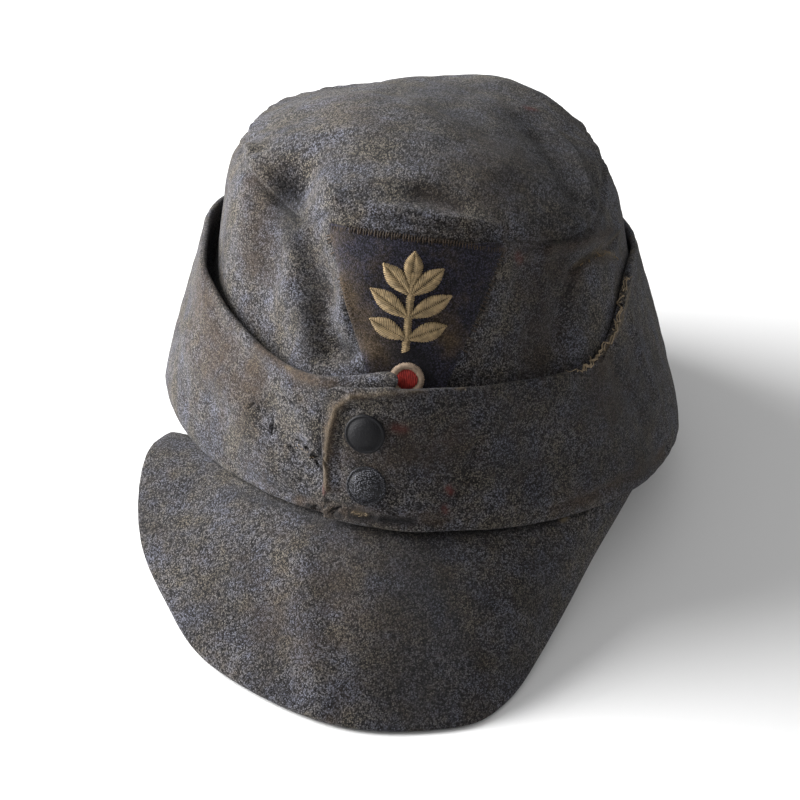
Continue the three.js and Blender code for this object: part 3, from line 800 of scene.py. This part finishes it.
def at_front(piece):
    """Which faces look out at the cap's front."""
    centres = face_rows(piece, "center")
    out = centres * (1, 1, 0) - (0, 0.02, 0)
    return (centres[:, 1] < 0.02) & ((face_rows(piece, "normal") * out).sum(1) > 0)


def refine(piece, chosen):
    """Divides the chosen faces once more, so that small slits have their shape."""
    select_only(piece)
    bpy.ops.object.mode_set(mode="EDIT")
    bpy.ops.mesh.select_mode(type="FACE")
    bpy.ops.mesh.select_all(action="DESELECT")
    bpy.ops.object.mode_set(mode="OBJECT")
    piece.data.polygons.foreach_set("select", chosen)
    bpy.ops.object.mode_set(mode="EDIT")
    bpy.ops.mesh.subdivide(number_cuts=1)
    bpy.ops.object.mode_set(mode="OBJECT")


class FIELDCAP_OT_flap(bpy.types.Operator):
    """Make the turned-up flap, lapped over the front."""

    bl_idname = "field_cap.flap"
    bl_label = "Flap"

    def execute(self, context):
        piece = soft_copy("ear_flap", "flap", 2)
        surface = skin_of_nodes("flap")
        refine(piece, at_front(piece))
        centres = face_rows(piece, "center")
        lines = [photo_line(surface, row["line"]) for row in WORN_STRETCHES]
        near = np.max([closeness(centres, line, WORN_REACH) for line in lines], axis=0)
        refine(piece, at_front(piece) & (near > WORN_CLOSENESS))
        points = points_of(piece)
        holes = slits(WORN_STRETCHES, SEEDS["slits"])
        # The slits are painted dark with the soil marks: painted shade inside them
        marks = {**FLAP_MARKS, "soil": FLAP_MARKS["soil"] + holes}
        mark(piece, marks, surface, points)
        swell = folds_on(points, FLAP_FOLDS, surface)
        swell += 0.6 * MM * (0.4 + lumps(points, 20 * MM, 3)) + 0.3 * MM * lumps(points, 6 * MM, 4)
        swell = np.maximum(swell, -0.9 * MM) + folds_on(points, holes, surface)
        low = np.clip(points[:, 2] / (6 * MM), 0, 1)
        rim = top_rim(piece, TORN_FROM, TORN_TO)
        torn = closeness(points, rim, 1.8 * MM)
        moved = points + outwards(points, CROWN_HEART) * (swell * low)[:, None]
        moved[:, 2] -= torn * np.abs(lumps(points, 2.6 * MM, 8)) * 3.4 * MM
        tip = closeness(points, [photo_point(surface, TIP["at"])] * 2, TIP["width"] * MM)
        move_points(piece, moved + tip[:, None] * np.array(TIP["move"]) * MM)
        piece.data.materials.append(wool_for("Wool serge of the flap, milled and browned", 0.9))
        keep(piece, "flap_cloth", "flap")
        return {"FINISHED"}


class FIELDCAP_OT_peak(bpy.types.Operator):
    """Make the stiff peak in its wool cover."""

    bl_idname = "field_cap.peak"
    bl_label = "Peak"

    def execute(self, context):
        piece = soft_copy("stiff_peak", "peak", 2)
        points = points_of(piece)
        surface = skin_of_nodes("peak")
        mark(piece, PEAK_MARKS, surface, points)
        swell = folds_on(points, PEAK_FOLDS, surface) + 0.3 * MM * lumps(points, 20 * MM, 5)
        free = np.clip(points[:, 2] / (4 * MM), 0, 1)
        root = closeness(points, photo_line(surface, PEAK_ROOT), 9 * MM)
        move_points(piece, points + np.array(PEAK_UP) * (swell * free * (1 - root))[:, None])
        piece.data.materials.append(wool_for("Wool serge of the peak, milled over board", 0.65))
        keep(piece, "peak_cloth", "peak")
        return {"FINISHED"}


class FIELDCAP_OT_patch(bpy.types.Operator):
    """Make the navy patch sewn on the front."""

    bl_idname = "field_cap.patch"
    bl_label = "Patch"

    def execute(self, context):
        cloth = context.scene.cap_cloth
        piece = soft_copy("navy_patch", "badge_patch", 2)
        points = points_of(piece)
        mark(piece, PATCH_MARKS, skin_of_nodes("badge_patch"), points)
        move_points(piece, points + crown_swell(points))
        tops = (cloth.navy, cloth.navy)
        material = wool("Navy badge cloth, stained", tops, linear("#0a0910"), linear("#483a26"), 0.75, cloth)
        piece.data.materials.append(material)
        keep(piece, "patch_cloth", "badge_patch")
        return {"FINISHED"}


def box_middle(node):
    """The middle of a solid's box."""
    return Vector([(low + high) / 2 for low, high in zip(*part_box(node))])


def patch_plane():
    """The patch's surface, a middle point, and its directions across, up and out."""
    middle = box_middle("sprig")
    surface = skin(bpy.data.objects["navy_patch"])
    out = surface.find_nearest(middle)[1]
    across = Vector((1, 0, 0))
    up = out.cross(across).normalized()
    if up.z < 0:
        up = -up
    return surface, middle, across, up, across.cross(up)


def lay_on_patch(plane, right, above, height):
    """A place on the patch, right and above its middle, raised by a height."""
    surface, middle, across, up, out = plane
    if out.y > 0:
        out = -out
    start = middle + across * right + up * above + out * 0.03
    place = surface.ray_cast(start, -out, 0.08)[0]
    return (place or middle) + out * height


class FIELDCAP_OT_stitches(bpy.types.Operator):
    """Sew the patch down with whip stitches."""

    bl_idname = "field_cap.stitches"
    bl_label = "Patch stitches"

    def execute(self, context):
        dice = random.Random(SEEDS["stitches"])
        wall = skin(bpy.data.objects["crown_wall"])
        patch = skin(bpy.data.objects["navy_patch"])
        lines = []
        for edge in PATCH_EDGES:
            count = edge["stitches"]
            for i in range(count):
                x, y = along(edge["line"], (i + 0.5) / count)
                a, b = edge["across"]
                stray = dice.uniform(-1.2, 1.2)
                inner = photo_point(patch, (x - a + stray, y - b + stray))
                outer = photo_point(wall, (x + a, y + b))
                if inner and outer and (inner - outer).length < 5 * MM:
                    middle = (inner + outer) / 2 + Vector((0, -0.5, 0.25)) * MM
                    lines.append([inner, middle, outer])
        sewn = embroidery("Sewing thread, browned", linear("#3f3226"))
        keep(strands("patch_stitches", lines, 0.45 * MM, sewn), "patch_cloth")
        return {"FINISHED"}


class FIELDCAP_OT_sprig(bpy.types.Operator):
    """Embroider the leaf sprig in satin stitches."""

    bl_idname = "field_cap.sprig"
    bl_label = "Leaf sprig"

    def execute(self, context):
        thread = context.scene.cap_thread
        dice = random.Random(SEEDS["sprig"])
        plane = patch_plane()
        low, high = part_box("sprig")
        tall = (high[2] - low[2]) / plane[3].z
        lines = []

        def leaf(foot, length, lean):
            ahead = Vector((math.sin(lean), math.cos(lean)))
            aside = Vector((ahead.y, -ahead.x))
            count = int(length / (thread.width * 0.95))
            for side in (-1, 1):
                for i in range(count):
                    t = (i + 0.5) / count
                    half = LEAF_WIDTH / 2 * math.sin(math.pi * t**0.8)
                    rib = foot + ahead * length * t
                    edge = rib + aside * side * half + ahead * half * 0.55
                    edge += ahead * dice.uniform(-0.12, 0.12) * MM
                    line = []
                    for share, lift in ((0.0, 0.55), (0.35, 1.0), (0.75, 0.75), (1.0, 0.1)):
                        spot = rib.lerp(edge, share)
                        line.append(lay_on_patch(plane, spot.x, spot.y - tall / 2, (0.35 + 0.75 * lift) * MM))
                    lines.append(line)

        for row in SPRIG_LEAVES:
            for side in (-1, 1):
                leaf(Vector((0, tall * row["foot"])), tall * row["length"], side * math.radians(row["lean"]))
        leaf(Vector((0, tall * (1 - TIP_LEAF_LENGTH))), tall * TIP_LEAF_LENGTH, 0)
        count = int(tall * STEM_LENGTH / (thread.width * 0.9))
        for i in range(count):
            above = tall * STEM_LENGTH * i / count - tall / 2
            half = 1.1 * MM + dice.uniform(-0.1, 0.1) * MM
            line = [
                lay_on_patch(plane, -half, above - 0.5 * MM, 0.3 * MM),
                lay_on_patch(plane, 0, above, 1.15 * MM),
                lay_on_patch(plane, half, above + 0.5 * MM, 0.3 * MM),
            ]
            lines.append(line)
        material = embroidery("Cotton embroidery thread, beige and soiled", thread.gold)
        piece = strands("leaf_sprig", lines, thread.width, material)
        keep(piece, "gold_thread", "sprig")
        return {"FINISHED"}


class FIELDCAP_OT_roundel(bpy.types.Operator):
    """Embroider the small roundel: a pale ring round a red middle."""

    bl_idname = "field_cap.roundel"
    bl_label = "Roundel"

    def execute(self, context):
        thread = context.scene.cap_thread
        dice = random.Random(SEEDS["roundel"])
        plane = patch_plane()
        low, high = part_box("roundel_ring")
        plane = (plane[0], box_middle("roundel_ring"), *plane[2:])
        radius = (high[0] - low[0]) / 2 * 0.9
        core = radius * 0.62
        ring = []
        for i in range(64):
            turn = math.tau * i / 64
            line = []
            for share, lift in ((core * 0.96, 0.3), (core * 1.25, 1.0), (radius * 0.9, 0.8), (radius, 0.2)):
                reach = share + dice.uniform(-0.1, 0.1) * MM
                spot = (math.sin(turn) * reach, math.cos(turn) * reach)
                line.append(lay_on_patch(plane, *spot, (0.3 + 0.6 * lift) * MM))
            ring.append(line)
        disc = []
        count = int(2 * core / (thread.width * 0.85))
        for i in range(count):
            x = -core + 2 * core * (i + 0.5) / count
            half = math.sqrt(core**2 - x**2)
            steps = ((-1, 0.3), (-0.5, 0.9), (0.5, 0.9), (1, 0.3))
            disc.append([lay_on_patch(plane, x, half * s, (0.35 + 0.55 * lift) * MM) for s, lift in steps])
        pale = embroidery("Cotton embroidery thread, pale and soiled", thread.pale)
        red = embroidery("Cotton embroidery thread, red and faded", thread.red)
        keep(strands("roundel_pale", ring, thread.width, pale), "pale_thread", "roundel_ring")
        keep(strands("roundel_red", disc, thread.width, red), "red_thread", "roundel_core")
        return {"FINISHED"}


class FIELDCAP_OT_buttons(bpy.types.Operator):
    """Make the two domed pebbled buttons."""

    bl_idname = "field_cap.buttons"
    bl_label = "Buttons"

    def execute(self, context):
        smooth = painted_zinc("Painted zinc, dark and soiled", 0.35, linear("#131318"), 0.6)
        pebbled = painted_zinc("Painted zinc, pebbled and rubbed", 0.7, linear("#6c6d76"), 0.36)
        for name, node, metal in (
            ("upper_button", "button_upper", smooth),
            ("lower_button", "button_lower", pebbled),
        ):
            corners = np.array([v.co for v in NODES[node].data.vertices])
            middle = corners.mean(0)
            out = Vector(np.linalg.svd(corners - middle)[2][2])
            if out.y > 0:
                out = -out
            reach = (corners - middle) @ np.array(out)
            seat = Vector(middle) + out * float(reach.min())
            radius = float(np.linalg.norm(np.cross(corners - middle, np.array(out)), axis=1).max())
            high = float(reach.max() - reach.min())
            bpy.ops.object.select_all(action="DESELECT")
            bpy.ops.mesh.primitive_circle_add(vertices=64, radius=radius * 0.9, fill_type="NGON")
            piece = context.object
            piece.name = name
            bpy.ops.object.mode_set(mode="EDIT")
            bpy.ops.mesh.select_all(action="SELECT")
            bpy.ops.mesh.extrude_region_move(TRANSFORM_OT_translate={"value": (0, 0, high * 0.22)})
            bpy.ops.transform.resize(value=(1.11, 1.11, 1.0), center_override=(0, 0, high * 0.22))
            bpy.ops.mesh.extrude_region_move(TRANSFORM_OT_translate={"value": (0, 0, high * 0.25)})
            for step in BUTTON_STEPS:
                bpy.ops.mesh.inset(thickness=radius * step["inset"], depth=high * step["rise"])
            bpy.ops.mesh.poke()
            bpy.ops.mesh.select_all(action="SELECT")
            bpy.ops.mesh.normals_make_consistent(inside=False)
            bpy.ops.object.mode_set(mode="OBJECT")
            round_off(piece, 1)
            piece.data.transform(Matrix.Translation(seat) @ out.to_track_quat("Z", "Y").to_matrix().to_4x4())
            piece.data.materials.append(metal)
            keep(piece, "button_metal", node)
        return {"FINISHED"}


def wisp(start, drift, reach, dice):
    """One loose thread from its start, wandering as it goes."""
    line = [start]
    for _ in range(5):
        stray = Vector([dice.gauss(0, 0.45) for _ in range(3)])
        line.append(line[-1] + (drift + stray).normalized() * reach / 5)
    return line


def frays_on(surface, rows, dice):
    """Loose threads that stand off a surface along lines of photo pixels."""
    lines = []
    for row in rows:
        for _ in range(row["threads"]):
            x, y = along(row["line"], dice.random())
            start = photo_point(surface, (x + dice.gauss(0, 1.2), y + dice.gauss(0, 1.2)))
            if start:
                drift = Vector((dice.gauss(0, 0.8), -0.5, dice.gauss(0, 0.6)))
                reach = row["reach"] * dice.uniform(0.5, 1.2) * MM
                lines.append(wisp(start, drift, reach, dice))
    return lines


class FIELDCAP_OT_threads(bpy.types.Operator):
    """Fray the torn edge and the worn places with loose threads."""

    bl_idname = "field_cap.threads"
    bl_label = "Loose threads"

    def execute(self, context):
        dice = random.Random(SEEDS["threads"])
        flap = bpy.data.objects["ear_flap"]
        rim = top_rim(flap, TORN_FROM, TORN_TO)
        cords = []
        for _ in range(4):
            offset = Vector([dice.gauss(0, 0.3) for _ in range(3)]) * MM
            start = dice.randrange(0, 6)
            while start < len(rim) - 4:
                length = dice.randrange(5, 16)
                run = []
                for place in rim[start : start + length]:
                    run.append(place + offset + Vector([dice.gauss(0, 0.12) for _ in range(3)]) * MM)
                cords.append(run)
                start += length + dice.randrange(0, 9)
        wisps = []
        for _ in range(46):
            place = dice.choice(rim)
            drift = Vector((dice.gauss(0.2, 0.7), dice.gauss(-0.3, 0.5), dice.uniform(0.1, 1.2)))
            wisps.append(wisp(place, drift, dice.uniform(0.8, 2.4) * MM, dice))
        wisps += frays_on(skin(flap), FLAP_FRAYS, dice)
        pale = embroidery("Loose wool threads, pale", linear("#a8957a"))
        long_cords = [run for run in cords if len(run) > 3]
        keep(strands("torn_edge_cords", long_cords, 0.42 * MM, pale), "flap_cloth")
        keep(strands("frayed_threads", wisps, 0.2 * MM, pale), "flap_cloth")
        wall = skin(bpy.data.objects["crown_wall"])
        brown = embroidery("Loose wool threads, browned", linear("#8a7453"))
        keep(strands("crown_frays", frays_on(wall, CROWN_FRAYS, dice), 0.24 * MM, brown), "crown_cloth")
        return {"FINISHED"}


class FIELDCAP_OT_stage(bpy.types.Operator):
    """Set the floor, the lights and the camera."""

    bl_idname = "field_cap.stage"
    bl_label = "Stage"

    def execute(self, context):
        look = context.scene.cap_stage
        bpy.ops.object.select_all(action="DESELECT")
        bpy.ops.mesh.primitive_plane_add(size=6.0, location=(0, 0, 0))
        floor = context.object
        floor.name = "floor"
        material, shader = new_material("Paper floor, matt white")
        shader.inputs["Base Color"].default_value = linear("#f4f4f4")
        shader.inputs["Roughness"].default_value = 0.9
        floor.data.materials.append(material)
        world = bpy.data.worlds.new("Soft studio")
        context.scene.world = world
        world.use_nodes = True
        sky = world.node_tree.nodes["Background"]
        sky.inputs["Color"].default_value = (1, 1, 1, 1)
        sky.inputs["Strength"].default_value = look.sky
        for row in LAMPS:
            bpy.ops.object.light_add(type="AREA", location=row["place"])
            lamp = context.object
            lamp.name = row["name"]
            lamp.data.energy = getattr(look, row["power"])
            lamp.data.size = row["size"]
            lamp.rotation_euler = (CAMERA_AIM - Vector(row["place"])).to_track_quat("-Z", "Y").to_euler()
        place, right, up, ahead = camera_axes()
        bpy.ops.object.camera_add(location=place)
        camera = context.object
        camera.name = "photo_camera"
        turn = Matrix((right, up, -ahead)).transposed()
        roll = Matrix.Rotation(math.radians(CAMERA_ROLL), 3, "Z")
        camera.rotation_euler = (turn @ roll).to_euler()
        camera.data.sensor_width = SENSOR
        camera.data.lens = FOCAL_PIXELS / PHOTO_PIXELS * SENSOR
        camera.data.shift_x = (PHOTO_PIXELS / 2 - AIM_PIXEL[0]) / PHOTO_PIXELS
        camera.data.shift_y = (AIM_PIXEL[1] - PHOTO_PIXELS / 2) / PHOTO_PIXELS
        camera.data.clip_end = 20
        context.scene.camera = camera
        context.scene.view_settings.view_transform = "Standard"
        return {"FINISHED"}


OPERATORS = (
    FIELDCAP_OT_stage,
    FIELDCAP_OT_crown,
    FIELDCAP_OT_flap,
    FIELDCAP_OT_peak,
    FIELDCAP_OT_patch,
    FIELDCAP_OT_stitches,
    FIELDCAP_OT_sprig,
    FIELDCAP_OT_roundel,
    FIELDCAP_OT_buttons,
    FIELDCAP_OT_threads,
)


class FIELDCAP_PT_panel(bpy.types.Panel):
    """Lists the cap's pieces."""

    bl_idname = "FIELDCAP_PT_panel"
    bl_label = "Field Cap"
    bl_space_type = "VIEW_3D"
    bl_region_type = "UI"
    bl_category = "Field Cap"

    def draw(self, context):
        for operator in OPERATORS:
            self.layout.operator(operator.bl_idname)


CLASSES = (CapCloth, CapThread, CapStage, *OPERATORS, FIELDCAP_PT_panel)


def register():
    """Registers the classes and their settings."""
    for item in CLASSES:
        bpy.utils.register_class(item)
    bpy.types.Scene.cap_cloth = bpy.props.PointerProperty(type=CapCloth)
    bpy.types.Scene.cap_thread = bpy.props.PointerProperty(type=CapThread)
    bpy.types.Scene.cap_stage = bpy.props.PointerProperty(type=CapStage)


def unregister():
    """Removes the settings and the classes."""
    del bpy.types.Scene.cap_stage
    del bpy.types.Scene.cap_thread
    del bpy.types.Scene.cap_cloth
    for item in reversed(CLASSES):
        bpy.utils.unregister_class(item)


def main():
    """Makes every piece."""
    register()
    bpy.ops.field_cap.stage()
    bpy.ops.field_cap.crown()
    bpy.ops.field_cap.flap()
    bpy.ops.field_cap.peak()
    bpy.ops.field_cap.patch()
    bpy.ops.field_cap.stitches()
    bpy.ops.field_cap.sprig()
    bpy.ops.field_cap.roundel()
    bpy.ops.field_cap.buttons()
    bpy.ops.field_cap.threads()


if __name__ == "__main__":
    main()
